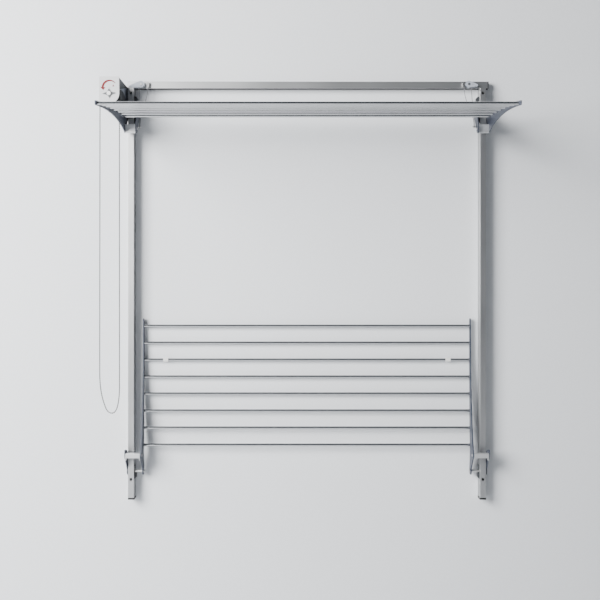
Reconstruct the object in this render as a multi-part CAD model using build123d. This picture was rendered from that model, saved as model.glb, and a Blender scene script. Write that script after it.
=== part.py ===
"""Wall mounted fold down drying rack, one STEP file for each node.

Millimetres, +Z up. X runs along the wall and the wall is the plane y = 0, with the rack on its
-Y side, so a depth d out from the wall is y = -d. The origin is the centre of the four wall holes.
"""
import os
from math import acos, cos, degrees, pi, radians, sin, tan

from build123d import *

# ---- rails and beam ----
RAIL_X = 583.0            # rail centre, each side of x = 0
RAIL_WIDTH = 20.0
RAIL_DEPTH = 38.0
RAIL_TOP = 658.0
RAIL_BOTTOM = -701.0
RAIL_SKIN = 3.0           # front and back walls of the rail
GROOVE_DEPTH = 4.0        # slider groove in each side of the rail
GROOVE_WIDTH = 18.0
CORE_WIDTH = 9.0          # hollow core behind the grooves
CAP_THICKNESS = 6.0
BEAM_HEIGHT = 23.0
BEAM_DEPTH = 25.0
BEAM_LEFT = -597.0
BEAM_RIGHT = 601.5
BEAM_SKIN = 2.0
WALL_HOLE_Z = 640.0
WALL_HOLE_R = 3.25
ACCESS_HOLE_R = 4.6

# ---- folding racks ----
PIVOT_DEPTH = 21.0
UPPER_PIVOT_Z = 567.0
LOWER_PIVOT_Z = -614.0
UPPER_TILT = 96.0         # degrees from straight up, towards the room
LOWER_TILT = -2.0
ROD_COUNT = 8
ROD_R = 5.0
FIRST_ROD = 86.5          # from the pivot, along the arm
ROD_PITCH = 56.5
ROD_OFFSET = 7.0          # from the arm's centre line, towards its underside
ROD_RISE = 6.0            # how far the row of rods bows at its middle
ARM_LENGTH = 507.0
BOSS_R = 13.0
PIN_R = 4.0
RUNNING_GAP = 0.05
UPPER_ARM = (594.5, 597.5)
UPPER_CHEEK = (557.0, 560.0)
LOWER_ARM = (543.0, 547.0)
LOWER_CHEEK = (594.5, 597.5)
CHANNEL_BACK = 49.0       # fork channel, along the arm from the pivot
CHANNEL_FRONT = 64.0
CHANNEL_LOW = 32.0        # and across it, towards the underside
CHANNEL_HIGH = 60.0
CHANNEL_SKIN = 2.5
RIVET = (57.0, 46.0)
RIVET_R = 2.5
RIVET_HEAD_R = 4.2
RIVET_HEAD = 1.3
STOP_KNOB = (26.5, 37.5)  # cord knob, in the open arm's own directions
KNOB_R = 3.5

# ---- cords, pulleys and winch ----
CORD_R = 1.0
PULLEY_Z = 669.5
PULLEY_X = {"left": -549.5, "right": 536.5}
PULLEY_TAIL = {"left": (-586.0, 662.0), "right": (563.0, 666.0)}
ANCHOR_X = {"left": -527.0, "right": 521.0}
PULLEY_R = 8.5
PULLEY_GROOVE_R = 6.3
HUB_X = -632.7
HUB_Z = 614.5
SCREW_HEAD = 0.4          # low heads, which pass under the hub's star
HOUSING_HALF = 31.5
HOUSING_TOP = 668.0
HOUSING_DEPTH = 131.0
HOUSING_SKIN = 3.0
SHAFT_R = 5.0
DRUM_R = 16.0
BEAD_R = 2.25
CHAIN_PITCH_R = 31.0
CHAIN_DEPTH = 140.0
COVER_BACK = 146.0
COVER_FRONT = 150.0

SIDES = (("left", -1), ("right", 1))
OUT = "parts"


def save(name, *solids):
    """Write one node, made of one or more separate solids."""
    flat = []
    for item in solids:
        flat.extend(item.solids())
    shape = flat[0] if len(flat) == 1 else Compound(children=flat)
    shape.label = name
    export_step(shape, os.path.join(OUT, name + ".step"))


def block(x_span, depth_span, z_span):
    """A box between two x values, two depths and two heights."""
    size = (x_span[1] - x_span[0], depth_span[1] - depth_span[0], z_span[1] - z_span[0])
    corner = (x_span[0], -depth_span[1], z_span[0])
    return Pos(*corner) * Box(*size, align=(Align.MIN, Align.MIN, Align.MIN))


def span(side, inner, outer):
    """An x span given by two distances from the middle, on either side."""
    return (inner, outer) if side > 0 else (-outer, -inner)


def rod_along_x(radius, x_span, depth, z):
    """A cylinder whose axis is parallel to X."""
    length = x_span[1] - x_span[0]
    place = Plane(origin=(x_span[0], -depth, z), x_dir=(0, 1, 0), z_dir=(1, 0, 0))
    return place * Cylinder(radius, length, align=(Align.CENTER, Align.CENTER, Align.MIN))


def rod_along_y(radius, depth_span, x, z):
    """A cylinder whose axis is parallel to Y."""
    length = depth_span[1] - depth_span[0]
    place = Plane(origin=(x, -depth_span[0], z), x_dir=(1, 0, 0), z_dir=(0, -1, 0))
    return place * Cylinder(radius, length, align=(Align.CENTER, Align.CENTER, Align.MIN))


def front_shape(face, depth_span):
    """Extrude a face drawn in the XZ plane, as seen from the room, between two depths."""
    solid = extrude(face, depth_span[1] - depth_span[0], dir=(0, -1, 0))
    return Pos(0, -depth_span[0], 0) * solid


# ---- rails, beam and caps ----

def rail_section():
    """Rail outline in plan, centred on its own x, with the wall face on y = 0."""
    middle = PIVOT_DEPTH
    outer = Pos(0, -RAIL_DEPTH / 2) * RectangleRounded(RAIL_WIDTH, RAIL_DEPTH, 0.8)
    for side in (-1, 1):
        groove_x = side * (RAIL_WIDTH / 2 - GROOVE_DEPTH / 2)
        outer -= Pos(groove_x, -middle) * Rectangle(GROOVE_DEPTH, GROOVE_WIDTH)
    core = Rectangle(CORE_WIDTH, RAIL_DEPTH - 2 * RAIL_SKIN)
    return outer - Pos(0, -RAIL_DEPTH / 2) * core


def make_rail(side):
    rail = extrude(rail_section(), RAIL_TOP - RAIL_BOTTOM)
    rail = Pos(side * RAIL_X, 0, RAIL_BOTTOM) * rail
    for z in (-WALL_HOLE_Z, WALL_HOLE_Z):
        rail -= rod_along_y(WALL_HOLE_R, (-1, RAIL_DEPTH / 2), side * RAIL_X, z)
        rail -= rod_along_y(ACCESS_HOLE_R, (RAIL_DEPTH / 2, RAIL_DEPTH + 1), side * RAIL_X, z)
    return rail


def make_rail_cap(side):
    """A plug for the rail's lower end: a plate with a tongue that enters the core."""
    plate = Pos(0, -RAIL_DEPTH / 2) * RectangleRounded(RAIL_WIDTH + 0.8, RAIL_DEPTH + 0.8, 1.2)
    tongue = Pos(0, -RAIL_DEPTH / 2) * Rectangle(CORE_WIDTH - 0.4, RAIL_DEPTH - 2 * RAIL_SKIN - 0.4)
    plug = extrude(plate, CAP_THICKNESS)
    plug += Pos(0, 0, CAP_THICKNESS) * extrude(tongue, 10)
    plug = Pos(side * RAIL_X, 0, RAIL_BOTTOM - CAP_THICKNESS) * plug
    return plug & block((-1e3, 1e3), (0, 60), (-1e3, 1e3))


def make_beam():
    z_span = (RAIL_TOP, RAIL_TOP + BEAM_HEIGHT)
    beam = block((BEAM_LEFT, BEAM_RIGHT), (0, BEAM_DEPTH), z_span)
    beam = fillet(beam.edges().filter_by(Axis.X).group_by(Axis.Y)[0], 1.2)
    inner_z = (z_span[0] + BEAM_SKIN, z_span[1] - BEAM_SKIN)
    beam -= block((BEAM_LEFT - 1, BEAM_RIGHT + 1), (BEAM_SKIN, BEAM_DEPTH - BEAM_SKIN), inner_z)
    for name, _ in SIDES:
        beam -= block_slot(PULLEY_X[name])
    return beam


def block_slot(x):
    """The slot in the beam's front wall where a cord comes out to its pulley."""
    return block((x - 3, x + 3), (BEAM_DEPTH - BEAM_SKIN - 1, BEAM_DEPTH + 1), (674.0, 678.0))


def make_beam_cap():
    z_span = (RAIL_TOP, RAIL_TOP + BEAM_HEIGHT)
    cap = block((BEAM_RIGHT, BEAM_RIGHT + 2.5), (0, BEAM_DEPTH), z_span)
    inset = BEAM_SKIN + 0.2
    tongue_z = (z_span[0] + inset, z_span[1] - inset)
    return cap + block((BEAM_RIGHT - 8, BEAM_RIGHT), (inset, BEAM_DEPTH - inset), tongue_z)


# ---- racks: shapes in an arm's own directions ----
# "along" runs from the pivot to the tip, "across" towards the underside of the open rack.

def arm_point(along, across):
    return Vector(0, -across, along)


def arm_curve(points):
    return Spline(*[arm_point(*point) for point in points])


def place_rack(shape, pivot_z, tilt):
    return Pos(0, -PIVOT_DEPTH, pivot_z) * (Rot(tilt, 0, 0) * shape)


def place_point(along, across, pivot_z, tilt):
    """Depth and height of a point given in the arm's own directions."""
    turn = radians(tilt)
    depth = PIVOT_DEPTH + along * sin(turn) + across * cos(turn)
    height = pivot_z + along * cos(turn) - across * sin(turn)
    return depth, height


def rod_spots():
    """Where the rods pass through the arms: a gently bowed row."""
    middle = FIRST_ROD + ROD_PITCH * (ROD_COUNT - 1) / 2
    half = ROD_PITCH * (ROD_COUNT - 1) / 2
    spots = []
    for index in range(ROD_COUNT):
        along = FIRST_ROD + ROD_PITCH * index
        bow = 1 - ((along - middle) / half) ** 2
        spots.append((along, ROD_OFFSET - ROD_RISE * bow))
    return spots


def boss_edges():
    """The round boss at the pivot and the hollow edge that runs from it to the heel."""
    hollow = ThreePointArc(arm_point(48, 55), arm_point(24, 29), arm_point(5, 12))
    boss = ThreePointArc(arm_point(5, 12), arm_point(-BOSS_R, 0), arm_point(0, -BOSS_R))
    return [hollow, boss]


def arm_face():
    """The long arm: deep at its heel, slim towards the tip, arched along its underside."""
    back = Line(arm_point(0, -BOSS_R), arm_point(63, -1))
    top = ThreePointArc(arm_point(63, -1), arm_point(284, -6), arm_point(ARM_LENGTH - 3, 1))
    tip = ThreePointArc(arm_point(ARM_LENGTH - 3, 1), arm_point(ARM_LENGTH, 7),
                        arm_point(ARM_LENGTH - 4, 14))
    under = arm_curve([(ARM_LENGTH - 4, 14), (441, 12.5), (342, 13.5), (253, 19.4), (158, 32.7),
                       (110, 43), (66, 57.5)])
    heel = ThreePointArc(arm_point(66, 57.5), arm_point(57, 59.5), arm_point(48, 55))
    return make_face([back, top, tip, under, heel] + boss_edges())


def cheek_face():
    """The short cheek on the far side of the fork."""
    back = Line(arm_point(0, -BOSS_R), arm_point(40, -3))
    brow = ThreePointArc(arm_point(40, -3), arm_point(62, 12), arm_point(75, 42))
    lip = Line(arm_point(75, 42), arm_point(76, 60))
    heel = ThreePointArc(arm_point(76, 60), arm_point(60, 60.5), arm_point(48, 55))
    return make_face([back, brow, lip, heel] + boss_edges())


def plate(face, x_span, holes):
    """A flat plate with its face in the YZ plane and round holes through it."""
    solid = Pos(x_span[0], 0, 0) * extrude(face, x_span[1] - x_span[0], dir=(1, 0, 0))
    for along, across, radius in holes:
        through = (x_span[0] - 1, x_span[1] + 1)
        solid -= rod_along_x(radius, through, across, along)
    return solid


def make_arm(side, distances):
    holes = [(0, 0, PIN_R + RUNNING_GAP), (*RIVET, RIVET_R)]
    for along, across in rod_spots():
        holes.append((along, across, ROD_R))
    return plate(arm_face(), span(side, *distances), holes)


def make_cheek(side, distances):
    holes = [(0, 0, PIN_R + RUNNING_GAP), (*RIVET, RIVET_R)]
    return plate(cheek_face(), span(side, *distances), holes)


def make_channel(side, inner, outer):
    """The folded channel that joins the cheek to the arm in front of the rail."""
    x_span = span(side, inner, outer)
    low, high = CHANNEL_LOW, CHANNEL_HIGH
    web = block(x_span, (low, high), (CHANNEL_FRONT - CHANNEL_SKIN, CHANNEL_FRONT))
    web = fillet(web.edges().filter_by(Axis.X).group_by(Axis.Z)[-1], 1.5)
    for near in (low, high - CHANNEL_SKIN):
        web += block(x_span, (near, near + CHANNEL_SKIN), (CHANNEL_BACK, CHANNEL_FRONT - 1.5))
    for start in (x_span[0], x_span[1] - 2):
        tab = block((start, start + 2), (38, high - 1), (41, CHANNEL_FRONT - 1.5))
        web += tab
    for edge in x_span:
        web -= rod_along_x(RIVET_R, (edge - 4, edge + 4), RIVET[1], RIVET[0])
    return web


def make_rivet(side, face_in, face_out):
    """A rivet through a cheek or arm and the channel's tab, with a head at each end."""
    along, across = RIVET
    shank = rod_along_x(RIVET_R, span(side, face_in, face_out), across, along)
    for start in (face_in - RIVET_HEAD, face_out):
        head = rod_along_x(RIVET_HEAD_R, span(side, start, start + RIVET_HEAD), across, along)
        shank += head
    return shank


def save_rack(prefix, arm, cheek, channel, cheek_name, pivot_z, tilt):
    """All the pieces of one rack, turned and moved to where it stands at rest."""
    def put(shape):
        return place_rack(shape, pivot_z, tilt)

    for name, side in SIDES:
        save(prefix + "_arm_" + name, put(make_arm(side, arm)))
    save(prefix + cheek_name, *[put(make_cheek(side, cheek)) for _, side in SIDES])
    save(prefix + "_fork_channels", *[put(make_channel(side, *channel)) for _, side in SIDES])

    rivets = []
    for _, side in SIDES:
        for face_in, face_out in rivet_spans(arm, cheek):
            rivets.append(put(make_rivet(side, face_in, face_out)))
    save(prefix + "_fork_rivets", *rivets)

    reach = arm[1] - 1.0
    plugs = []
    for number, (along, across) in enumerate(rod_spots(), start=1):
        rod = rod_along_x(ROD_R, (-reach, reach), across, along)
        save(prefix + "_rod_%d" % number, put(rod))
        for _, side in SIDES:
            plug = rod_along_x(ROD_R, span(side, reach, arm[1] + 0.4), across, along)
            plugs.append(put(plug))
    save(prefix + "_rod_plugs", *plugs)


def rivet_spans(arm, cheek):
    """Inner and outer grip faces of the two rivets on one side."""
    outer, inner = (arm, cheek) if arm[0] > cheek[0] else (cheek, arm)
    return ((outer[0] - 2, outer[1]), (inner[0], inner[1] + 2))


# ---- upper carriage ----

def make_sliders(side):
    """The shoes that run in the rail's two grooves. The inner one carries the cord plate."""
    half = GROOVE_WIDTH / 2 - 0.3
    depths = (PIVOT_DEPTH - half, PIVOT_DEPTH + half)
    shoe_z = (UPPER_PIVOT_Z - 42, UPPER_PIVOT_Z + 63)
    groove_floor = RAIL_WIDTH / 2 - GROOVE_DEPTH
    inner_shoe = (RAIL_X - RAIL_WIDTH / 2, RAIL_X - groove_floor - 0.3)
    outer_shoe = (RAIL_X + groove_floor + 0.3, RAIL_X + RAIL_WIDTH / 2)

    outer = block(span(side, *outer_shoe), depths, shoe_z)
    inner = block(span(side, *inner_shoe), depths, shoe_z)

    body = block(span(side, 562.5, RAIL_X - RAIL_WIDTH / 2 - 0.3), depths, (548, shoe_z[1]))
    top_edges = body.edges().filter_by(Axis.Y).group_by(Axis.Z)
    body = chamfer(top_edges[-1].sort_by(Axis.X)[0 if side > 0 else -1], 5)
    neck = block(span(side, 565, RAIL_X - RAIL_WIDTH / 2 + 1), (depths[0] + 2, depths[1] - 2),
                 (shoe_z[0] + 20, shoe_z[1] - 10))
    inner = inner + body + neck

    knob_depth, knob_z = place_point(*STOP_KNOB, UPPER_PIVOT_Z, UPPER_TILT)
    link_x = span(side, 562.5, 565.5)
    foot = (PIVOT_DEPTH, 558.0)
    link = link_plate(link_x, foot, (knob_depth, knob_z), 6.5)
    inner = inner + link
    hole = span(side, 548, RAIL_X - groove_floor)
    inner -= rod_along_x(PIN_R, hole, PIVOT_DEPTH, UPPER_PIVOT_Z)
    outer -= rod_along_x(PIN_R, span(side, *outer_shoe), PIVOT_DEPTH, UPPER_PIVOT_Z)
    return inner, outer


def link_plate(x_span, start, end, radius):
    """A flat bar with round ends between two (depth, height) points."""
    ends = [rod_along_x(radius, x_span, *start), rod_along_x(radius, x_span, *end)]
    run = Vector(0, -(end[0] - start[0]), end[1] - start[1])
    middle = Vector(x_span[0], -start[0], start[1]) + run * 0.5
    place = Plane(origin=middle, x_dir=run, z_dir=(1, 0, 0))
    bar = place * Box(run.length, 2 * radius, x_span[1] - x_span[0],
                      align=(Align.CENTER, Align.CENTER, Align.MIN))
    return bar + ends[0] + ends[1]


def make_pivot_pins(side, z, inner_end, arm_out):
    """The stub pins that a rack turns on, with a flat head outside each plate."""
    pins = []
    groove_floor = RAIL_WIDTH / 2 - GROOVE_DEPTH
    inner_span = (inner_end, RAIL_X - groove_floor - 0.3)
    outer_span = (RAIL_X + groove_floor + 0.3, arm_out + 0.4)
    for start, end, head_at, head in (
        (*inner_span, inner_end - 2.6, 2.6),
        (*outer_span, arm_out + 0.4, 1.6),
    ):
        pin = rod_along_x(PIN_R, span(side, start, end), PIVOT_DEPTH, z)
        pin += rod_along_x(6.0, span(side, head_at, head_at + head), PIVOT_DEPTH, z)
        pins.append(pin)
    return pins


def make_cord_knob(side):
    """The grooved knob that the lift cord loops round. It also stops the open rack."""
    depth, z = place_point(*STOP_KNOB, UPPER_PIVOT_Z, UPPER_TILT)
    knob = rod_along_x(KNOB_R, span(side, 555.5, 562.5), depth, z)
    knob += rod_along_x(2.4, span(side, 550.5, 555.5), depth, z)
    knob += rod_along_x(4.2, span(side, 549.5, 550.5), depth, z)
    return knob


# ---- lower pivots, fixed to the rails ----

def make_lower_blocks(side):
    """The clamp blocks in the rail grooves that hold the lower rack's pins."""
    half = GROOVE_WIDTH / 2 - 0.3
    depths = (PIVOT_DEPTH - half, PIVOT_DEPTH + half)
    z_span = (LOWER_PIVOT_Z - 25, LOWER_PIVOT_Z + 18)
    groove_floor = RAIL_WIDTH / 2 - GROOVE_DEPTH
    blocks = []
    for inner, outer in ((RAIL_X - RAIL_WIDTH / 2, RAIL_X - groove_floor),
                         (RAIL_X + groove_floor, RAIL_X + RAIL_WIDTH / 2)):
        shoe = block(span(side, inner, outer), depths, z_span)
        if inner < RAIL_X:
            bump = block(span(side, inner - 6.5, inner), depths, (z_span[0], LOWER_PIVOT_Z - 6.5))
            edge = bump.edges().filter_by(Axis.Y).group_by(Axis.Z)[0]
            shoe += chamfer(edge.sort_by(Axis.X)[0 if side > 0 else -1], 5)
        shoe -= rod_along_x(PIN_R, span(side, inner - 8, outer), PIVOT_DEPTH, LOWER_PIVOT_Z)
        blocks.append(shoe)
    return blocks


def make_lower_spacer(side):
    """A turned spacer that keeps the inner arm off the rail, with a collar at the rail."""
    spacer = rod_along_x(5.6, span(side, 547.3, 572.7), PIVOT_DEPTH, LOWER_PIVOT_Z)
    spacer += rod_along_x(6.4, span(side, 564.0, 568.0), PIVOT_DEPTH, LOWER_PIVOT_Z)
    return spacer - rod_along_x(PIN_R, span(side, 540, 575), PIVOT_DEPTH, LOWER_PIVOT_Z)


def make_wall_buffer(side):
    """A clip on the third rod from the top that keeps the folded rack off the wall."""
    along, across = rod_spots()[ROD_COUNT - 3]
    depth, z = place_point(along, across, LOWER_PIVOT_Z, LOWER_TILT)
    x_span = span(side, 463.0, 479.0)
    ring = rod_along_x(ROD_R + 2.2, x_span, depth, z)
    foot = block(span(side, 465.5, 476.5), (0.4, depth), (z - 5.5, z + 5.5))
    buffer = ring + foot
    return buffer - rod_along_x(ROD_R, span(side, 460, 480), depth, z)


# ---- pulleys and lift cords ----

def teardrop(center, radius, tail, tail_r):
    """A round end with two straight sides that close on a small round tail."""
    start = Vector(center[0], 0, center[1])
    end = Vector(tail[0], 0, tail[1])
    run = end - start
    lean = degrees(acos((radius - tail_r) / run.length))
    aim = run.normalized()
    upper = aim.rotate(Axis.Y, lean)
    lower = aim.rotate(Axis.Y, -lean)
    edges = [
        Line(start + upper * radius, end + upper * tail_r),
        ThreePointArc(end + upper * tail_r, end + aim * tail_r, end + lower * tail_r),
        Line(end + lower * tail_r, start + lower * radius),
        ThreePointArc(start + lower * radius, start - aim * radius, start + upper * radius),
    ]
    return make_face(edges)


def make_pulley_housing(name):
    center = (PULLEY_X[name], PULLEY_Z)
    tail = PULLEY_TAIL[name]
    housing = front_shape(teardrop(center, 11.0, tail, 3.5), (BEAM_DEPTH, 39.0))
    hollow = front_shape(teardrop(center, 9.3, tail, 1.6), (BEAM_DEPTH + 1.8, 37.2))
    mouth = block((center[0] - 9.3, center[0] + 9.3), (BEAM_DEPTH + 1.8, 37.2), (650, PULLEY_Z))
    housing = housing - hollow - mouth
    housing -= rod_along_y(2.0, (20, 45), *center)
    return housing


def make_pulley_axle(name):
    axle = rod_along_y(2.0, (BEAM_DEPTH, 39.0), PULLEY_X[name], PULLEY_Z)
    return axle + rod_along_y(4.0, (39.0, 40.4), PULLEY_X[name], PULLEY_Z)


def make_pulley_wheel(name):
    """A small grooved wheel with four round windows, turning on its axle."""
    x = PULLEY_X[name]
    wheel = rod_along_y(PULLEY_R, (28.4, 35.6), x, PULLEY_Z)
    ring = rod_along_y(PULLEY_R + 1, (30.2, 33.8), x, PULLEY_Z)
    wheel -= ring - rod_along_y(PULLEY_GROOVE_R, (30.2, 33.8), x, PULLEY_Z)
    wheel -= rod_along_y(2.0 + RUNNING_GAP, (20, 45), x, PULLEY_Z)
    for quarter in range(4):
        turn = radians(45 + 90 * quarter)
        wheel -= rod_along_y(0.9, (20, 45), x + 4.2 * cos(turn), PULLEY_Z + 4.2 * sin(turn))
    return wheel


def make_cord_anchor(name):
    """The eyelet block on the beam where the cord's fixed end is tied."""
    x = ANCHOR_X[name]
    anchor = block((x - 4, x + 4), (BEAM_DEPTH, 35), (661, 677))
    anchor = fillet(anchor.edges().filter_by(Axis.Y), 2)
    return anchor - straight_tube((x, -31, 655), (x, -31, 690), 1.6)


def tube(points, radii, radius):
    """A round tube along straight runs joined by arcs."""
    path = FilletPolyline(*points, radius=radii)
    start = Plane(origin=path @ 0, z_dir=path % 0)
    return sweep(start * Circle(radius), path=path)


def bend_radii(points):
    """For each corner, the largest arc that its two runs leave room for."""
    radii = []
    for before, here, after in zip(points, points[1:], points[2:]):
        into = Vector(*here) - Vector(*before)
        out = Vector(*after) - Vector(*here)
        turn = radians(into.get_angle(out))
        radii.append(0.45 * min(into.length, out.length) / tan(turn / 2))
    return radii


def straight_tube(start, end, radius):
    run = Vector(*end) - Vector(*start)
    place = Plane(origin=start, z_dir=run)
    return place * Cylinder(radius, run.length, align=(Align.CENTER, Align.CENTER, Align.MIN))


def make_lift_cord(name, side):
    """The fall from the pulley, the turn round the knob and the slack leg to the anchor."""
    knob_depth, knob_z = place_point(*STOP_KNOB, UPPER_PIVOT_Z, UPPER_TILT)
    loop_r = 2.4 + CORD_R + 0.1
    knob_x = side * 553.0
    fall_top = (PULLEY_X[name] + side * (PULLEY_GROOVE_R + CORD_R + 0.1), -32.0, PULLEY_Z)
    fall_end = (knob_x, -(knob_depth + loop_r), knob_z)
    slack_end = (knob_x, -(knob_depth - loop_r), knob_z)
    fall = straight_tube(fall_top, fall_end, CORD_R)

    loop_plane = Plane(origin=(knob_x, -knob_depth, knob_z), x_dir=(0, 1, 0), z_dir=(1, 0, 0))
    loop = loop_plane * Torus(loop_r, CORD_R)
    loop &= block((-1e3, 1e3), (0, 1e3), (knob_z - 20, knob_z))

    anchor_x = ANCHOR_X[name]
    points = [
        (anchor_x, -31.0, 668.0),
        (anchor_x + side * 0.5, -31.0, 648.0),
        (anchor_x + side * 6.0, -33.0, 622.0),
        (anchor_x + side * 15.0, -36.0, 590.0),
        (knob_x - side * 2.0, -(knob_depth - loop_r - 0.5), 556.0),
        slack_end,
    ]
    slack = tube(points, bend_radii(points), CORD_R)
    return [fall + loop, slack]


# ---- winch ----

def winch_face(half, top, bottom_r, small_r):
    """Outline of the winch from the front: square above, one big round below on the right."""
    low = HUB_Z - half
    left, right = HUB_X - half, HUB_X + half
    body = make_face(Polyline((left, 0, low), (right, 0, low), (right, 0, top), (left, 0, top),
                              close=True))
    corners = body.vertices().sort_by(Axis.Z)
    low_right = corners[:2].sort_by(Axis.X)[-1]
    return round_corners(body, low_right, bottom_r, small_r)


def round_corners(body, big_corner, big_r, small_r):
    spot = Vector(*big_corner)
    body = fillet(big_corner, big_r)
    small = [v for v in body.vertices() if (Vector(*v) - spot).length > big_r * 1.1]
    return fillet(small, small_r)


def make_winch_housing():
    """The dark shell behind the chain wheel, closed at the wall and open at the front."""
    shell = front_shape(winch_face(HOUSING_HALF, HOUSING_TOP, 31.0, 2.5), (0, HOUSING_DEPTH))
    inner = winch_face(HOUSING_HALF - HOUSING_SKIN, HOUSING_TOP - HOUSING_SKIN, 28.0, 1.0)
    shell -= front_shape(inner, (4, HOUSING_DEPTH + 1))
    shell += rod_along_y(11.0, (4, 12), HUB_X, HUB_Z)
    shell -= rod_along_y(8.0, (4, 13), HUB_X, HUB_Z)
    right = HUB_X + HOUSING_HALF
    return shell - block((right - 6, right + 1), (8, 18), (660.0 - 2, 664.0))


def make_bearing_plate():
    inner = winch_face(HOUSING_HALF - HOUSING_SKIN - 0.2, HOUSING_TOP - HOUSING_SKIN - 0.2, 27.8, 1.0)
    plate_solid = front_shape(inner, (126.5, 130.0))
    return plate_solid - rod_along_y(8.0, (120, 140), HUB_X, HUB_Z)


def make_bush(depth_span):
    bush = rod_along_y(8.0, depth_span, HUB_X, HUB_Z)
    return bush - rod_along_y(SHAFT_R + RUNNING_GAP, (0, 160), HUB_X, HUB_Z)


def make_winch_cover():
    """The pale front plate with its hood over the chain wheel and two posts behind it."""
    cover = front_shape(winch_face(32.0, HOUSING_TOP + 0.5, 31.5, 3.0), (COVER_BACK, COVER_FRONT))
    hood_x = (HUB_X - HOUSING_HALF + 3, HUB_X + HOUSING_HALF - 3)
    cover += block(hood_x, (HOUSING_DEPTH, COVER_BACK), (HOUSING_TOP - 2.5, HOUSING_TOP))
    for offset in (-24, 24):
        cover += rod_along_y(3.5, (130.0, COVER_BACK), HUB_X + offset, 658.0)
    cover -= rod_along_y(6.5, (140, 160), HUB_X, HUB_Z)
    for z in (HUB_Z - 17.5, HUB_Z + 17.5):
        cover -= rod_along_y(1.5, (147, 160), HUB_X, z)
    return cover


def make_cover_screw(z):
    """A small cross head screw in the front cover."""
    screw = rod_along_y(1.5, (147, COVER_FRONT), HUB_X, z)
    screw += rod_along_y(2.6, (COVER_FRONT, COVER_FRONT + SCREW_HEAD), HUB_X, z)
    for half_x, half_z in ((1.7, 0.35), (0.35, 1.7)):
        x_span = (HUB_X - half_x, HUB_X + half_x)
        screw -= block(x_span, (COVER_FRONT + 0.1, COVER_FRONT + 1), (z - half_z, z + half_z))
    return screw


def make_winch_bracket():
    """A gusset on the winch's side and a foot that ties it to the rail, flat on the wall."""
    edge = HUB_X + HOUSING_HALF
    tip_low, tip_high = (0, -144, 625.5), (0, -144, 629)
    wall_high, wall_low = (0, 0, 665), (0, 0, 598)
    side = make_face([Line(tip_high, wall_high), Line(wall_high, wall_low),
                      ThreePointArc(wall_low, (0, -60, 630), tip_low), Line(tip_low, tip_high)])
    gusset = Pos(edge, 0, 0) * extrude(side, 1.0, dir=(1, 0, 0))
    foot = block((edge + 0.5, -(RAIL_X + RAIL_WIDTH / 2)), (0, 5), (604, 655))
    return gusset + foot


def make_drum():
    """The cord drum with its two flanges, fixed on the shaft."""
    drum = rod_along_y(DRUM_R, (42, 88), HUB_X, HUB_Z)
    for start in (40, 86):
        drum += rod_along_y(25.0, (start, start + 3), HUB_X, HUB_Z)
    return drum - rod_along_y(SHAFT_R, (0, 160), HUB_X, HUB_Z)


def make_chain_wheel():
    """The wheel that the bead chain turns: a grooved rim with spokes."""
    wheel = rod_along_y(30.4, (134.5, 145.3), HUB_X, HUB_Z)
    groove = rod_along_y(32.0, (137.4, 142.6), HUB_X, HUB_Z)
    root_r = CHAIN_PITCH_R - BEAD_R - 0.35
    wheel -= groove - rod_along_y(root_r, (137.4, 142.6), HUB_X, HUB_Z)
    for spoke in range(6):
        turn = radians(30 + 60 * spoke)
        wheel -= rod_along_y(6.0, (130, 150), HUB_X + 17 * cos(turn), HUB_Z + 17 * sin(turn))
    return wheel - rod_along_y(SHAFT_R, (120, 160), HUB_X, HUB_Z)


def make_hub_star():
    """The four pointed star on the shaft's end, in front of the cover."""
    points = []
    for step in range(8):
        turn = radians(45 * step + 4)
        radius = (21.0 if step % 4 == 0 else 15.0) if step % 2 == 0 else 7.5
        points.append((HUB_X + radius * cos(turn), 0, HUB_Z + radius * sin(turn)))
    star = make_face(Polyline(*points, close=True))
    star = front_shape(star, (150.6, 152.6))
    return star - rod_along_y(SHAFT_R, (140, 160), HUB_X, HUB_Z)


def make_hub_cap():
    """The pale button on the star, with a sleeve that goes over the shaft's end."""
    cap = rod_along_y(6.6, (152.6, 156.0), HUB_X, HUB_Z)
    cap = fillet(cap.edges().group_by(Axis.Y)[0], 1.2)
    return cap - rod_along_y(SHAFT_R, (140, 153.6), HUB_X, HUB_Z)


def make_chain_wrap():
    """The stretch of bead chain that lies over the top half of the wheel."""
    place = Plane(origin=(HUB_X, -CHAIN_DEPTH, HUB_Z), x_dir=(1, 0, 0), z_dir=(0, -1, 0))
    ring = place * Torus(CHAIN_PITCH_R, BEAD_R)
    return ring & block((-1e3, 1e3), (0, 1e3), (HUB_Z, HUB_Z + 100))


def chain_route():
    """The hanging loop, from the wheel's left side down, round and up to its right side."""
    left, right = HUB_X - CHAIN_PITCH_R, HUB_X + CHAIN_PITCH_R
    spots = [
        (left, HUB_Z - 0.1),
        (left - 1.2, -262.0),
        (left - 0.6, -306.0),
        (left + 3.4, -340.0),
        (left + 9.0, -365.0),
        (left + 16.0, -386.0),
        (left + 22.5, -400.5),
        (left + 34.0, -409.0),
        (left + 46.5, -406.5),
        (left + 54.0, -394.5),
        (right - 3.2, -374.0),
        (right + 0.2, -344.0),
        (right + 0.5, -300.0),
        (right, HUB_Z - 0.1),
    ]
    return [(x, -CHAIN_DEPTH, z) for x, z in spots]


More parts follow.
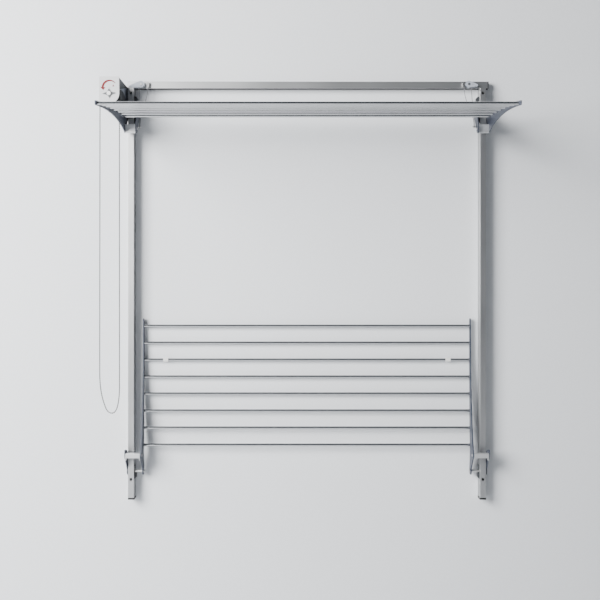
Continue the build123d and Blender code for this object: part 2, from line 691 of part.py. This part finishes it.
def save_winch():
    save("winch_housing", make_winch_housing())
    save("winch_bearing_plate", make_bearing_plate())
    save("winch_bushes", make_bush((4, 12)), make_bush((125.5, 131.5)))
    save("winch_cover", make_winch_cover())
    screw_heights = (HUB_Z - 17.5, HUB_Z + 17.5)
    save("winch_cover_screws", *[make_cover_screw(z) for z in screw_heights])
    save("winch_bracket", make_winch_bracket())
    save("winch_shaft", rod_along_y(SHAFT_R, (4.4, 153.4), HUB_X, HUB_Z))
    save("cord_drum", make_drum())
    save("chain_wheel", make_chain_wheel())
    save("hub_star", make_hub_star(), make_hub_cap())
    save("chain_over_wheel", make_chain_wrap())
    route = chain_route()
    radii = bend_radii(route)
    print("chain bend radii:", [round(radius) for radius in radii])
    chain = tube(route, radii, BEAD_R)
    length = FilletPolyline(*route, radius=radii).length
    section = pi * BEAD_R ** 2
    print("chain length %.1f, volume %.1f" % (length, chain.volume))
    print("section times length %.1f" % (section * length))
    save("bead_chain", chain)


def save_frame():
    for name, side in SIDES:
        save("rail_" + name, make_rail(side))
        save("pulley_housing_" + name, make_pulley_housing(name))
        save("pulley_wheel_" + name, make_pulley_wheel(name))
    save("end_caps", make_beam_cap(), *[make_rail_cap(side) for _, side in SIDES])
    save("top_beam", make_beam())
    save("pulley_axles", *[make_pulley_axle(name) for name, _ in SIDES])
    save("cord_anchors", *[make_cord_anchor(name) for name, _ in SIDES])

    blocks, pins, spacers, buffers = [], [], [], []
    for _, side in SIDES:
        blocks.extend(make_lower_blocks(side))
        pins.extend(make_pivot_pins(side, LOWER_PIVOT_Z, 542.6, 597.5))
        spacers.append(make_lower_spacer(side))
        buffers.append(make_wall_buffer(side))
    save("lower_pivot_blocks", *blocks)
    save("lower_pivot_pins", *pins)
    save("lower_spacers", *spacers)
    save("wall_buffers", *buffers)


def save_carriage():
    pins, knobs = [], []
    for name, side in SIDES:
        save("upper_sliders_" + name, *make_sliders(side))
        pins.extend(make_pivot_pins(side, UPPER_PIVOT_Z, 556.6, 597.5))
        knobs.append(make_cord_knob(side))
        save("lift_cord_" + name, *make_lift_cord(name, side))
    save("upper_pivot_pins", *pins)
    save("cord_knobs", *knobs)


def main():
    os.makedirs(OUT, exist_ok=True)
    save_frame()
    save_carriage()
    save_rack("upper", UPPER_ARM, UPPER_CHEEK, (560.0, 594.5), "_inner_cheeks",
              UPPER_PIVOT_Z, UPPER_TILT)
    save_rack("lower", LOWER_ARM, LOWER_CHEEK, (547.0, 594.5), "_outer_cheeks",
              LOWER_PIVOT_Z, LOWER_TILT)
    save_winch()


main()
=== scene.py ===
import math

import bmesh
import bpy
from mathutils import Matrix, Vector


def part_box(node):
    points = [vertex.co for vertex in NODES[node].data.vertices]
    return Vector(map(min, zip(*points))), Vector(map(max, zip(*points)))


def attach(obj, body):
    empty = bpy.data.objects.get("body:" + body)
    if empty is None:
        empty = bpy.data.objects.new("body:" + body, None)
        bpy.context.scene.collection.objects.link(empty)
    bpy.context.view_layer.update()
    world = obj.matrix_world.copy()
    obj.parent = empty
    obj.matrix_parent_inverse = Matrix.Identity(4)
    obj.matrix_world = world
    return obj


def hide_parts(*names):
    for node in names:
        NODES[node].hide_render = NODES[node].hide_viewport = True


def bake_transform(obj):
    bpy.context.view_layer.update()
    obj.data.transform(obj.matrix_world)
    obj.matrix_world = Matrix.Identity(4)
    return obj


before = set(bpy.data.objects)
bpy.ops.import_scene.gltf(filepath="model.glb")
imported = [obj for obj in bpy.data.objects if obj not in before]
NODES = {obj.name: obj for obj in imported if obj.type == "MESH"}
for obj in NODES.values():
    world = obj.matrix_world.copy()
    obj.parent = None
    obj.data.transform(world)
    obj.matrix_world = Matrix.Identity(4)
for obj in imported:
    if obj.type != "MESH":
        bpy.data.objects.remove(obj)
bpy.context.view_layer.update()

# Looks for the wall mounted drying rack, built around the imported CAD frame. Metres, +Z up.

SIDES = (("left", -1), ("right", 1))

# Places repeated from the CAD source, in metres.
PULLEY_X = {"left": -0.5495, "right": 0.5365}
PULLEY_Y = -0.032
PULLEY_Z = 0.6695
ANCHOR_X = {"left": -0.527, "right": 0.521}
CORD_R = 0.001
CORD_TURN_R = 0.0074      # from the pulley's axis to the cord's centre
KNOB_X = 0.553            # the middle of the cord's groove on a knob, each side of x = 0
KNOB_LOOP_R = 0.0035      # from the knob's axis to the cord's centre
HUB = Vector((-0.6327, 0.0, 0.6145))
CHAIN_Y = -0.140
CHAIN_PITCH_R = 0.031
BEAD_R = 0.00225
BEAD_PITCH = 0.006
BEAD_SEGMENTS = 12        # round each bead
BEAD_RINGS = 8            # steps from one end of a bead to the other
LINK_R = 0.0008
LINK_SEGMENTS = 8
HUB_CAP_R = 0.0067
COVER_FACE_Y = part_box("winch_cover")[0].y
MARK_GAP = 0.00002        # keeps the printed marks off the cover's own face
MARK_THICKNESS = 0.00025

CAMERA_PLACE = (-0.023, -3.157, -0.0456)
LENS = 56.5               # millimetres
SENSOR = 36.0             # millimetres

WALL_Y = 0.001            # just behind the rack's wall face
STAGE_HALF = 6.0
WALL_TOP = 5.0
FLOOR_Z = -1.6
FLOOR_FRONT_Y = -7.0


# ---- node materials ----

def new_material(name):
    material = bpy.data.materials.new(name)
    material.use_nodes = True
    tree = material.node_tree
    return material, tree, tree.nodes["Principled BSDF"]


def stretched_coords(tree, scale):
    """Object coordinates, stretched so that a noise reads as grain along one axis."""
    coords = tree.nodes.new("ShaderNodeTexCoord")
    mapping = tree.nodes.new("ShaderNodeMapping")
    mapping.inputs["Scale"].default_value = scale
    tree.links.new(coords.outputs["Object"], mapping.inputs["Vector"])
    return mapping.outputs["Vector"]


def noise(tree, vector, scale=1.0, detail=4.0):
    node = tree.nodes.new("ShaderNodeTexNoise")
    node.inputs["Scale"].default_value = scale
    node.inputs["Detail"].default_value = detail
    tree.links.new(vector, node.inputs["Vector"])
    return node.outputs["Fac"]


def ramp(tree, factor, low, high, start=0.3, end=0.7):
    node = tree.nodes.new("ShaderNodeValToRGB")
    node.color_ramp.elements[0].position = start
    node.color_ramp.elements[0].color = (*low, 1)
    node.color_ramp.elements[1].position = end
    node.color_ramp.elements[1].color = (*high, 1)
    tree.links.new(factor, node.inputs["Fac"])
    return node.outputs["Color"]


def map_range(tree, factor, low, high):
    node = tree.nodes.new("ShaderNodeMapRange")
    node.inputs["To Min"].default_value = low
    node.inputs["To Max"].default_value = high
    tree.links.new(factor, node.inputs["Value"])
    return node.outputs["Result"]


def add_bump(tree, shader, height, strength, distance):
    node = tree.nodes.new("ShaderNodeBump")
    node.inputs["Strength"].default_value = strength
    node.inputs["Distance"].default_value = distance
    tree.links.new(height, node.inputs["Height"])
    tree.links.new(node.outputs["Normal"], shader.inputs["Normal"])


def grained_metal(name, color, roughness, grain, contrast=0.06, bump=0.12, metallic=1.0):
    """Metal with fine drawn or brushed grain. grain is the stretch of the noise on each axis."""
    material, tree, shader = new_material(name)
    fine = noise(tree, stretched_coords(tree, grain), 1.0, 5.0)
    broad = noise(tree, stretched_coords(tree, (6, 6, 6)), 1.0, 2.0)
    low = tuple(max(channel - contrast, 0) for channel in color)
    tree.links.new(ramp(tree, fine, low, color), shader.inputs["Base Color"])
    tree.links.new(map_range(tree, broad, roughness - 0.05, roughness + 0.07),
                   shader.inputs["Roughness"])
    shader.inputs["Metallic"].default_value = metallic
    add_bump(tree, shader, fine, bump, 0.0001)
    return material


def paint_underside_shade(material, color):
    """Painted shade: paints the faces that look down dark, as the shade under the beam. It is only
    paint: the CAD's beam is a closed box.
    """
    tree = material.node_tree
    shader = tree.nodes["Principled BSDF"]
    light_color = shader.inputs["Base Color"].links[0].from_socket
    coords = tree.nodes.new("ShaderNodeTexCoord")
    split = tree.nodes.new("ShaderNodeSeparateXYZ")
    tree.links.new(coords.outputs["Normal"], split.inputs["Vector"])
    # Painted shade mask: faces whose normal points down get the dark colour.
    down = tree.nodes.new("ShaderNodeMath")
    down.operation = "LESS_THAN"
    down.inputs[1].default_value = -0.7
    tree.links.new(split.outputs["Z"], down.inputs[0])
    mix = tree.nodes.new("ShaderNodeMix")
    mix.data_type = "RGBA"
    mix.inputs["B"].default_value = (*color, 1)
    tree.links.new(down.outputs["Value"], mix.inputs["Factor"])
    tree.links.new(light_color, mix.inputs["A"])
    tree.links.new(mix.outputs["Result"], shader.inputs["Base Color"])


def moulded_plastic(name, color, roughness, texture_scale=2200.0, bump=0.25, contrast=0.02):
    """Moulded plastic or powder coat: fine even texture and slight tone changes."""
    material, tree, shader = new_material(name)
    coords = stretched_coords(tree, (1, 1, 1))
    fine = noise(tree, coords, texture_scale, 2.0)
    broad = noise(tree, coords, 25.0, 3.0)
    low = tuple(max(channel - contrast, 0) for channel in color)
    tree.links.new(ramp(tree, broad, low, color), shader.inputs["Base Color"])
    tree.links.new(map_range(tree, fine, roughness - 0.06, roughness + 0.06),
                   shader.inputs["Roughness"])
    add_bump(tree, shader, fine, bump, 0.0001)
    return material


def braided_cord(name, color):
    """Fine braid: two crossing sets of waves round the cord."""
    material, tree, shader = new_material(name)
    coords = stretched_coords(tree, (1, 1, 1))
    waves = []
    for tilt in (1, -1):
        wave = tree.nodes.new("ShaderNodeTexWave")
        wave.inputs["Scale"].default_value = 420.0
        turn = tree.nodes.new("ShaderNodeMapping")
        turn.inputs["Rotation"].default_value = (0, tilt * 0.8, 0)
        tree.links.new(coords, turn.inputs["Vector"])
        tree.links.new(turn.outputs["Vector"], wave.inputs["Vector"])
        waves.append(wave.outputs["Fac"])
    cross = tree.nodes.new("ShaderNodeMath")
    cross.operation = "MULTIPLY"
    tree.links.new(waves[0], cross.inputs[0])
    tree.links.new(waves[1], cross.inputs[1])
    low = tuple(channel * 0.7 for channel in color)
    tree.links.new(ramp(tree, cross.outputs[0], low, color, 0.0, 0.6), shader.inputs["Base Color"])
    shader.inputs["Roughness"].default_value = 0.75
    shader.inputs["Sheen Weight"].default_value = 0.3
    add_bump(tree, shader, cross.outputs[0], 0.5, 0.0002)
    return material


def star_with_cap(name):
    """Dark nylon star, with a pale button inside the cap's radius about the hub's axis."""
    material, tree, shader = new_material(name)
    coords = tree.nodes.new("ShaderNodeTexCoord")
    center = NODES["hub_star"].matrix_world.inverted() @ HUB
    offset = tree.nodes.new("ShaderNodeVectorMath")
    offset.operation = "SUBTRACT"
    offset.inputs[1].default_value = center
    tree.links.new(coords.outputs["Object"], offset.inputs[0])
    flat = tree.nodes.new("ShaderNodeVectorMath")
    flat.operation = "MULTIPLY"
    flat.inputs[1].default_value = (1, 0, 1)
    tree.links.new(offset.outputs["Vector"], flat.inputs[0])
    reach = tree.nodes.new("ShaderNodeVectorMath")
    reach.operation = "LENGTH"
    tree.links.new(flat.outputs["Vector"], reach.inputs[0])
    outside = tree.nodes.new("ShaderNodeMath")
    outside.operation = "GREATER_THAN"
    outside.inputs[1].default_value = HUB_CAP_R
    tree.links.new(reach.outputs["Value"], outside.inputs[0])
    fine = noise(tree, coords.outputs["Object"], 2000.0, 2.0)
    mix = tree.nodes.new("ShaderNodeMix")
    mix.data_type = "RGBA"
    tree.links.new(outside.outputs["Value"], mix.inputs["Factor"])
    tree.links.new(ramp(tree, fine, (0.66, 0.66, 0.65), (0.74, 0.74, 0.73)), mix.inputs["A"])
    tree.links.new(ramp(tree, fine, (0.07, 0.075, 0.08), (0.10, 0.105, 0.11)), mix.inputs["B"])
    tree.links.new(mix.outputs["Result"], shader.inputs["Base Color"])
    shader.inputs["Roughness"].default_value = 0.48
    add_bump(tree, shader, fine, 0.15, 0.0001)
    return material


MATERIALS = {
    "rail": grained_metal("anodised_rail", (0.58, 0.585, 0.59), 0.36, (900, 900, 5), 0.05, 0.05),
    "beam": grained_metal("anodised_beam", (0.60, 0.605, 0.61), 0.36, (5, 900, 900), 0.05, 0.05),
    "channel": grained_metal("anodised_channel", (0.80, 0.81, 0.82), 0.34, (5, 900, 900),
                             0.05, 0.05, 0.8),
    "rod": grained_metal("drawn_rod", (0.50, 0.505, 0.515), 0.17, (4, 60, 60), 0.02, 0.0),
    "arm": moulded_plastic("blue_grey_coat", (0.045, 0.052, 0.072), 0.46, 2600.0, 0.2, 0.015),
    "black": moulded_plastic("black_plastic", (0.012, 0.012, 0.013), 0.5),
    "nylon": moulded_plastic("dark_nylon", (0.045, 0.048, 0.052), 0.52),
    "zinc": grained_metal("zinc_plate", (0.70, 0.70, 0.69), 0.28, (300, 300, 300), 0.10, 0.1),
    "housing": moulded_plastic("pulley_coat", (0.36, 0.385, 0.43), 0.35, 2400.0, 0.15),
    "white": moulded_plastic("white_nylon", (0.74, 0.74, 0.72), 0.45),
    "winch": moulded_plastic("winch_dark", (0.030, 0.032, 0.036), 0.50),
    "bracket": moulded_plastic("bracket_coat", (0.20, 0.22, 0.26), 0.42),
    "cover": moulded_plastic("winch_cover_coat", (0.54, 0.545, 0.55), 0.45, 2600.0, 0.12),
    "bronze": grained_metal("sintered_bronze", (0.50, 0.36, 0.19), 0.5, (700, 700, 700)),
    "beads": grained_metal("nickel_beads", (0.09, 0.09, 0.09), 0.34, (400, 400, 400), 0.08, 0.05),
    "cord": braided_cord("polyester_cord", (0.22, 0.22, 0.235)),
    "star": star_with_cap("star_and_cap"),
    "red": moulded_plastic("red_print", (0.16, 0.0, 0.003), 0.7, 1500.0, 0.05, 0.04),
}

# Painted shade: the beam's faces that look down are painted near black.
paint_underside_shade(MATERIALS["beam"], (0.03, 0.03, 0.032))

NODE_MATERIALS = (
    ("rail_", "rail"), ("top_beam", "beam"), ("end_caps", "black"),
    ("upper_fork_channels", "channel"), ("lower_fork_channels", "channel"),
    ("upper_rod_plugs", "black"), ("lower_rod_plugs", "black"),
    ("upper_rod_", "rod"), ("lower_rod_", "rod"),
    ("upper_arm", "arm"), ("lower_arm", "arm"), ("upper_inner_cheeks", "arm"),
    ("lower_outer_cheeks", "arm"), ("upper_sliders", "nylon"), ("lower_pivot_blocks", "nylon"),
    ("hub_star", "star"), ("pulley_housing", "housing"), ("pulley_wheel", "white"),
    ("wall_buffers", "white"), ("winch_cover_screws", "zinc"), ("winch_cover", "cover"),
    ("winch_bushes", "bronze"), ("winch_shaft", "zinc"), ("winch_bracket", "bracket"),
    ("winch_", "winch"), ("chain_wheel", "winch"), ("cord_drum", "winch"),
    ("cord_anchors", "zinc"), ("cord_knobs", "zinc"), ("pulley_axles", "zinc"),
    ("upper_pivot_pins", "zinc"), ("lower_pivot_pins", "zinc"), ("lower_spacers", "zinc"),
    ("upper_fork_rivets", "zinc"), ("lower_fork_rivets", "zinc"),
    ("chain_over_wheel", "beads"), ("bead_chain", "beads"), ("lift_cord", "cord"),
)


def dress_nodes():
    for name, node in NODES.items():
        key = next(key for prefix, key in NODE_MATERIALS if name.startswith(prefix))
        node.data.materials.clear()
        node.data.materials.append(MATERIALS[key])


# ---- mesh helpers ----

def add_mesh(name, mesh_or_bmesh, material):
    if isinstance(mesh_or_bmesh, bmesh.types.BMesh):
        mesh = bpy.data.meshes.new(name)
        mesh_or_bmesh.to_mesh(mesh)
        mesh_or_bmesh.free()
    else:
        mesh = mesh_or_bmesh
    piece = bpy.data.objects.new(name, mesh)
    bpy.context.scene.collection.objects.link(piece)
    mesh.materials.clear()
    mesh.materials.append(MATERIALS[material])
    return piece


def nurbs_curve(points, bevel):
    curve = bpy.data.curves.new("route", "CURVE")
    curve.dimensions = "3D"
    curve.resolution_u = 12
    curve.bevel_depth = bevel
    curve.bevel_resolution = 3
    curve.use_fill_caps = bevel > 0
    spline = curve.splines.new("NURBS")
    spline.points.add(len(points) - 1)
    for place, point in zip(spline.points, points):
        place.co = (*point, 1)
    spline.order_u = 3
    spline.use_endpoint_u = True
    return curve


def mesh_from_route(points, bevel):
    """The mesh of a tube along a route, or only its line where bevel is 0."""
    curve = nurbs_curve(points, bevel)
    holder = bpy.data.objects.new("route", curve)
    bpy.context.scene.collection.objects.link(holder)
    bpy.context.view_layer.update()
    mesh = bpy.data.meshes.new_from_object(holder.evaluated_get(
        bpy.context.evaluated_depsgraph_get()))
    bpy.data.objects.remove(holder)
    bpy.data.curves.remove(curve)
    return mesh


def route_line(points):
    mesh = mesh_from_route(points, 0.0)
    line = [vertex.co.copy() for vertex in mesh.vertices]
    bpy.data.meshes.remove(mesh)
    return line


def points_every(line, step):
    """Points at even distances along a line."""
    spots = [line[0].copy()]
    left = step
    for start, end in zip(line, line[1:]):
        run = (end - start).length
        done = 0.0
        while run - done >= left:
            done += left
            spots.append(start.lerp(end, done / run))
            left = step
        left -= run - done
    return spots


def ring_template(rings, segments):
    """Points and faces of a round solid about Z, from (radius, height) rings."""
    points = [(0, 0, rings[0][1])]
    for radius, height in rings[1:-1]:
        for step in range(segments):
            turn = math.tau * step / segments
            points.append((radius * math.cos(turn), radius * math.sin(turn), height))
    points.append((0, 0, rings[-1][1]))
    last, top_ring = len(points) - 1, len(points) - 1 - segments
    faces = []
    for step in range(segments):
        after = (step + 1) % segments
        faces.append((0, 1 + after, 1 + step))
        faces.append((top_ring + step, top_ring + after, last))
        for ring in range(len(rings) - 3):
            low = 1 + ring * segments
            faces.append((low + step, low + after, low + segments + after, low + segments + step))
    return [Vector(point) for point in points], faces


def bead_string(name, spots):
    """Round beads at the given points, joined by short straight wire links."""
    turns = [math.pi * step / BEAD_RINGS for step in range(BEAD_RINGS + 1)]
    profile = [(BEAD_R * math.sin(turn), -BEAD_R * math.cos(turn)) for turn in turns]
    ball_points, ball_faces = ring_template(profile, BEAD_SEGMENTS)
    points, faces = [], []
    for spot in spots:
        faces += [tuple(len(points) + index for index in face) for face in ball_faces]
        points += [spot + point for point in ball_points]
    for start, end in zip(spots, spots[1:]):
        run = end - start
        turn = run.to_track_quat("Z", "Y").to_matrix()
        rings = [(0, 0), (LINK_R, 0), (LINK_R, run.length), (0, run.length)]
        wire_points, wire_faces = ring_template(rings, LINK_SEGMENTS)
        faces += [tuple(len(points) + index for index in face) for face in wire_faces]
        points += [start + turn @ point for point in wire_points]
    mesh = bpy.data.meshes.new(name)
    mesh.from_pydata([tuple(point) for point in points], [], faces)
    mesh.shade_smooth()
    return mesh


# ---- camera ----

def make_camera():
    data = bpy.data.cameras.new("camera")
    data.lens = LENS
    data.sensor_width = SENSOR
    camera = bpy.data.objects.new("camera", data)
    camera.location = CAMERA_PLACE
    camera.rotation_euler = (math.radians(90), 0, 0)
    bpy.context.scene.collection.objects.link(camera)
    bpy.context.scene.camera = camera


# ---- cords ----

def chain_points():
    """The hanging loop of bead chain, from the wheel's left side round to its right."""
    left, right = HUB.x - CHAIN_PITCH_R, HUB.x + CHAIN_PITCH_R
    spots = [
        (left, HUB.z - 0.0001),
        (left - 0.0012, -0.262),
        (left - 0.0006, -0.306),
        (left + 0.0034, -0.340),
        (left + 0.0090, -0.365),
        (left + 0.0160, -0.386),
        (left + 0.0225, -0.4005),
        (left + 0.0340, -0.409),
        (left + 0.0465, -0.4065),
        (left + 0.0540, -0.3945),
        (right - 0.0032, -0.374),
        (right + 0.0002, -0.344),
        (right + 0.0005, -0.300),
        (right, HUB.z - 0.0001),
    ]
    return [Vector((x, CHAIN_Y, z)) for x, z in spots]


def make_bead_chain():
    line = route_line(chain_points())
    spots = points_every(line, BEAD_PITCH)
    chain = add_mesh("bead_chain_beads", bead_string("bead_chain_beads", spots), "beads")
    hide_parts("bead_chain")
    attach(chain, "frame")


def make_beads_over_wheel():
    count = round(math.pi * CHAIN_PITCH_R / BEAD_PITCH)
    spots = []
    for step in range(count + 1):
        turn = math.pi * step / count
        offset = Vector((math.cos(turn), 0, math.sin(turn))) * CHAIN_PITCH_R
        spots.append(Vector((HUB.x, CHAIN_Y, HUB.z)) + offset)
    beads = add_mesh("beads_over_wheel", bead_string("beads_over_wheel", spots[1:-1]), "beads")
    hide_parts("chain_over_wheel")
    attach(beads, "frame")


def knob_center(side):
    """The middle of the cord's groove on one knob, from the knobs' own box."""
    low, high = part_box("cord_knobs")
    return Vector((side * KNOB_X, (low.y + high.y) / 2, (low.z + high.z) / 2))


def lift_cord_points(name, side):
    """Down from the pulley, round the knob and up the slack leg to the anchor."""
    knob = knob_center(side)
    fall_x = PULLEY_X[name] + side * CORD_TURN_R
    anchor_x = ANCHOR_X[name]
    reach = KNOB_LOOP_R
    return [
        Vector((PULLEY_X[name], PULLEY_Y, PULLEY_Z + CORD_TURN_R)),
        Vector((fall_x, PULLEY_Y, PULLEY_Z + CORD_TURN_R)),
        Vector((fall_x, PULLEY_Y, PULLEY_Z - 0.004)),
        knob + Vector((0, -reach, 0.012)),
        knob + Vector((0, -reach, -reach)),
        knob + Vector((0, reach, -reach)),
        knob + Vector((0, reach, 0.008)),
        Vector((knob.x - side * 0.002, knob.y + reach + 0.0005, 0.556)),
        Vector((anchor_x + side * 0.015, -0.036, 0.590)),
        Vector((anchor_x + side * 0.006, -0.033, 0.622)),
        Vector((anchor_x + side * 0.0005, -0.031, 0.648)),
        Vector((anchor_x, -0.031, 0.668)),
    ]


def make_lift_cord(name, side):
    """A cord that is fixed at the beam and runs down round the knob."""
    mesh = mesh_from_route(lift_cord_points(name, side), CORD_R)
    cord = add_mesh("lift_cord_braid_" + name, mesh, "cord")
    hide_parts("lift_cord_" + name)
    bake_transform(cord)


# ---- printed marks on the winch cover ----

def flat_piece(name, outline, y, thickness, material):
    """A thin flat piece facing the room, from points in the XZ plane."""
    mesh = bmesh.new()
    back = [mesh.verts.new((x, y, z)) for x, z in outline]
    front = [mesh.verts.new((x, y - thickness, z)) for x, z in outline]
    mesh.faces.new(back)
    mesh.faces.new(list(reversed(front)))
    for index in range(len(outline)):
        after = (index + 1) % len(outline)
        mesh.faces.new((back[index], front[index], front[after], back[after]))
    bmesh.ops.recalc_face_normals(mesh, faces=mesh.faces)
    return add_mesh(name, mesh, material)


def arrow_outline(center, radius, width, start, end, head):
    """A curved band that tapers at its start and ends in an arrow head."""
    steps = 28
    outer, inner = [], []
    for step in range(steps + 1):
        share = step / steps
        turn = math.radians(start + (end - start) * share)
        half = width / 2 * (0.25 + 0.75 * min(1.0, share * 1.6))
        outer.append((radius + half, turn))
        inner.append((radius - half, turn))
    tip_turn = math.radians(end + math.degrees(head / radius))
    last = math.radians(end)
    point = [(radius + width * 1.25, last), (radius, tip_turn), (radius - width * 1.25, last)]
    ring = outer + point + list(reversed(inner))
    return [(center[0] + r * math.cos(t), center[1] + r * math.sin(t)) for r, t in ring]


def make_cover_marks():
    """The curved arrow, and a plain triangle beside it."""
    surface = COVER_FACE_Y - MARK_GAP
    arrow = arrow_outline((-0.6305, 0.6330), 0.0225, 0.0066, 38, 176, 0.0105)
    arrow_piece = flat_piece("turn_arrow", arrow, surface, MARK_THICKNESS, "red")
    mark = [(-0.6222, 0.6365), (-0.6162, 0.6365), (-0.6192, 0.6425)]
    mark_piece = flat_piece("up_mark", mark, surface, MARK_THICKNESS, "red")
    for piece in (arrow_piece, mark_piece):
        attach(piece, "frame")


# ---- stage and light ----

def show_from_front_only(tree, shader):
    """A one-sided studio wall, so that the object's back can be seen from behind it."""
    geometry = tree.nodes.new("ShaderNodeNewGeometry")
    clear = tree.nodes.new("ShaderNodeBsdfTransparent")
    mix = tree.nodes.new("ShaderNodeMixShader")
    tree.links.new(geometry.outputs["Backfacing"], mix.inputs["Fac"])
    tree.links.new(shader.outputs["BSDF"], mix.inputs[1])
    tree.links.new(clear.outputs["BSDF"], mix.inputs[2])
    tree.links.new(mix.outputs["Shader"], tree.nodes["Material Output"].inputs["Surface"])


def make_stage():
    """A pale wall that the rack hangs on, and a pale floor below it."""
    material, tree, shader = new_material("stage_paint")
    fine = noise(tree, stretched_coords(tree, (1, 1, 1)), 120.0, 3.0)
    tree.links.new(ramp(tree, fine, (0.70, 0.715, 0.735), (0.72, 0.735, 0.755)),
                   shader.inputs["Base Color"])
    shader.inputs["Roughness"].default_value = 0.8
    show_from_front_only(tree, shader)
    for name, corners in (
        ("wall", [(-STAGE_HALF, WALL_Y, FLOOR_Z), (STAGE_HALF, WALL_Y, FLOOR_Z),
                  (STAGE_HALF, WALL_Y, WALL_TOP), (-STAGE_HALF, WALL_Y, WALL_TOP)]),
        ("floor", [(-STAGE_HALF, FLOOR_FRONT_Y, FLOOR_Z), (STAGE_HALF, FLOOR_FRONT_Y, FLOOR_Z),
                   (STAGE_HALF, WALL_Y, FLOOR_Z), (-STAGE_HALF, WALL_Y, FLOOR_Z)]),
    ):
        mesh = bmesh.new()
        mesh.faces.new([mesh.verts.new(corner) for corner in corners])
        data = bpy.data.meshes.new(name)
        mesh.to_mesh(data)
        mesh.free()
        data.materials.append(material)
        piece = bpy.data.objects.new(name, data)
        bpy.context.scene.collection.objects.link(piece)


def area_light(name, place, target, size, power, color):
    data = bpy.data.lights.new(name, "AREA")
    data.shape = "RECTANGLE"
    data.size, data.size_y = size
    data.energy = power
    data.color = color
    light = bpy.data.objects.new(name, data)
    light.location = place
    aim = Vector(target) - Vector(place)
    light.rotation_euler = aim.to_track_quat("-Z", "Y").to_euler()
    bpy.context.scene.collection.objects.link(light)


def make_light():
    area_light("key", (-2.85, -2.7, 1.15), (-0.7, 0, 0.0), (2.2, 2.6), 520, (1.0, 0.999, 0.996))
    world = bpy.data.worlds.new("studio")
    world.use_nodes = True
    back = world.node_tree.nodes["Background"]
    back.inputs["Color"].default_value = (0.80, 0.86, 0.95, 1)
    back.inputs["Strength"].default_value = 0.15
    bpy.context.scene.world = world


make_camera()
make_bead_chain()
make_beads_over_wheel()
for side_name, side_sign in SIDES:
    make_lift_cord(side_name, side_sign)
dress_nodes()
make_cover_marks()
make_stage()
make_light()
